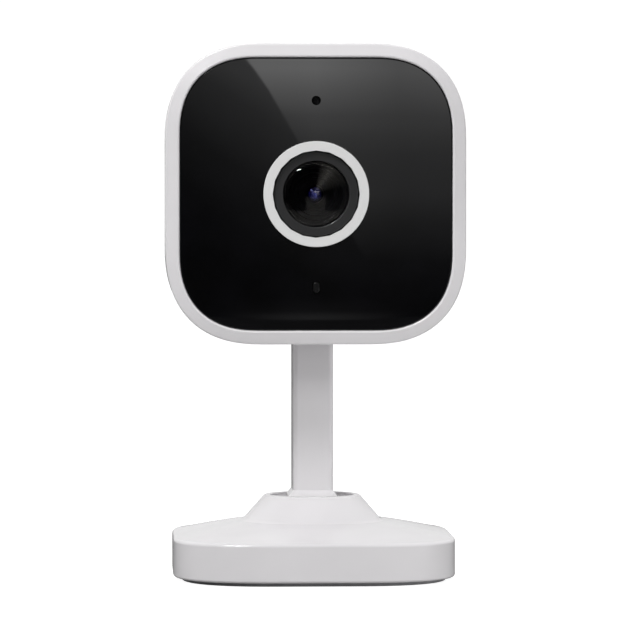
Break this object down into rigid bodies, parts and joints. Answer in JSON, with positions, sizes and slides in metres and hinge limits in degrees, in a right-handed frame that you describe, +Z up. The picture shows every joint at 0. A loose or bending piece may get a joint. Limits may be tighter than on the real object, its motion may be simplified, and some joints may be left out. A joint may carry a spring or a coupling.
{
  "type": "security camera",
  "caption": "Small indoor security camera: a soft-cornered square head with a black front and ringed lens tilts on a stem that turns on a weighted square base.",
  "frame": {"origin": "middle of the underside of the rubber pad, on the stem's axis", "axes": "+Z up, the lens looks along -Y, +X to the right seen from the front"},
  "size_m": [0.056, 0.0532, 0.1006],
  "materials": {
    "white_housing": "moulded, semi-gloss white",
    "black_panel": "polished black, infrared-clear",
    "ring_plastic": "fine matt white",
    "hood_plastic": "fine matt dark grey",
    "black_plastic": "moulded black",
    "lens_glass": "polished, anti-reflection coated",
    "coated_glass": "polished, blue-violet coating",
    "smoked_window": "smoked clear plastic",
    "circuit_board": "solder-masked glass-fibre board",
    "plated_steel": "zinc plated",
    "ballast_steel": "blackened steel",
    "seal_foam": "soft black foam",
    "pad_rubber": "matt dark grey rubber",
    "sensor_chip": "glassed silicon in a dark package",
    "led_resin": "clear tinted resin",
    "amber_film": "amber film and enamelled copper"
  },
  "bodies": {
    "base": {"base_cover": "white_housing", "base_plate": "black_plastic", "ballast": "ballast_steel", "rubber_pad": "pad_rubber", "base_screw_1": "plated_steel", "base_screw_2": "plated_steel", "base_screw_3": "plated_steel", "base_screw_4": "plated_steel"},
    "stem": {"stem": "white_housing", "stem_strip": "white_housing", "swivel_spring": "plated_steel", "swivel_retainer": "plated_steel", "swivel_screw": "plated_steel"},
    "head": {"front_shell": "white_housing", "rear_shell": "white_housing", "front_panel": "black_panel", "lens_ring": "ring_plastic", "lens_gasket": "seal_foam", "lens_hood": "hood_plastic", "front_glass": "lens_glass", "lens_barrel": "black_plastic", "inner_element": "coated_glass", "lens_holder": "black_plastic", "filter_coil": "amber_film", "image_sensor": "sensor_chip", "sensor_board": "circuit_board", "led_board": "circuit_board", "microphone": "plated_steel", "light_guide": "smoked_window", "mid_frame": "black_plastic", "main_board": "circuit_board", "processor_shield": "plated_steel", "radio_shield": "plated_steel", "radio_antenna": "amber_film", "speaker": "black_plastic", "speaker_gasket": "seal_foam", "usb_socket": "plated_steel", "card_socket": "plated_steel", "reset_switch": "plated_steel", "tilt_screw": "plated_steel", "tilt_nut": "plated_steel", "tilt_washer_right": "black_plastic", "tilt_washer_left": "black_plastic", "infrared_led_1": "led_resin", "infrared_led_2": "led_resin", "infrared_led_3": "led_resin", "infrared_led_4": "led_resin", "frame_screw_1": "plated_steel", "frame_screw_2": "plated_steel", "frame_screw_3": "plated_steel", "frame_screw_4": "plated_steel", "holder_screw_1": "plated_steel", "holder_screw_2": "plated_steel", "board_screw_1": "plated_steel", "board_screw_2": "plated_steel"},
    "filter": {"filter_frame": "black_plastic", "infrared_filter": "coated_glass", "clear_pane": "lens_glass"},
    "button": {"reset_button": "black_plastic"}
  },
  "joints": [
    {"name": "swivel", "type": "hinge", "parent": "base", "child": "stem", "pos_m": [0, 0, 0.0149], "axis": [0, 0, 1], "continuous": true},
    {"name": "tilt", "type": "hinge", "parent": "stem", "child": "head", "pos_m": [0, 0, 0.053], "axis": [-1, 0, 0], "range_deg": [-20, 90]},
    {"name": "filter_slide", "type": "slide", "parent": "head", "child": "filter", "axis": [-1, 0, 0], "range_m": [0, 0.0062]},
    {"name": "reset_press", "type": "slide", "parent": "head", "child": "button", "axis": [0, -1, 0], "range_m": [0, 0.0004], "stiffness_N_per_m": 1000}
  ]
}
